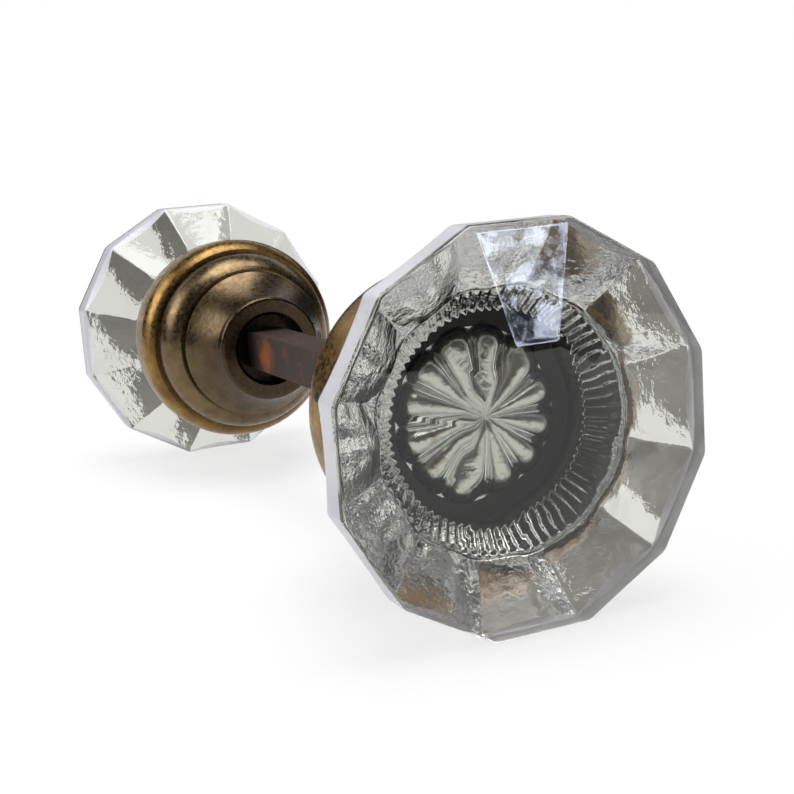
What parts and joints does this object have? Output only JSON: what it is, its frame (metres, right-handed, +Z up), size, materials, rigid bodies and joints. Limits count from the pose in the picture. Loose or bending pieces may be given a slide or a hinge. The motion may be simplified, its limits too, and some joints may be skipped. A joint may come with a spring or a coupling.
{
  "type": "door knob set",
  "caption": "Pair of twelve-point pressed glass door knobs with star centres in aged brass necks, on a square steel spindle.",
  "frame": {"origin": "middle of the spindle, on its axis", "axes": "+Y along the spindle from the front knob to the rear knob, +X towards the set screws, +Z up; the set lies on one flat of each glass rim"},
  "size_m": [0.049, 0.1376, 0.049],
  "materials": {
    "spindle_steel": "rusted bar, brown with orange spots",
    "glass": "clear pressed glass, faint smoky tint",
    "foil": "bright foil, slightly tarnished",
    "pad": "pressed paper",
    "cement": "dark filler",
    "ferrule_brass": "spun brass, worn bright on the bead",
    "shank_brass": "cast brass, aged dark brown",
    "screw_steel": "darkened steel"
  },
  "bodies": {
    "spindle": {"square_spindle": "spindle_steel"},
    "front_knob": {"front_glass_knob": "glass", "front_star_foil": "foil", "front_foil_pad": "pad", "front_cement_ring": "cement", "front_ferrule": "ferrule_brass", "front_shank": "shank_brass"},
    "front_screw": {"front_set_screw": "screw_steel"},
    "rear_knob": {"rear_glass_knob": "glass", "rear_star_foil": "foil", "rear_foil_pad": "pad", "rear_cement_ring": "cement", "rear_ferrule": "ferrule_brass", "rear_shank": "shank_brass"},
    "rear_screw": {"rear_set_screw": "screw_steel"}
  },
  "joints": [
    {"name": "front_knob_slide", "type": "slide", "parent": "spindle", "child": "front_knob", "axis": [0, -1, 0], "range_m": [-0.003, 0.01]},
    {"name": "front_screw_travel", "type": "slide", "parent": "front_knob", "child": "front_screw", "axis": [1, 0, 0], "range_m": [0, 0.005]},
    {"name": "rear_knob_slide", "type": "slide", "parent": "spindle", "child": "rear_knob", "axis": [0, 1, 0], "range_m": [-0.003, 0.01]},
    {"name": "rear_screw_travel", "type": "slide", "parent": "rear_knob", "child": "rear_screw", "axis": [1, 0, 0], "range_m": [0, 0.005]}
  ]
}
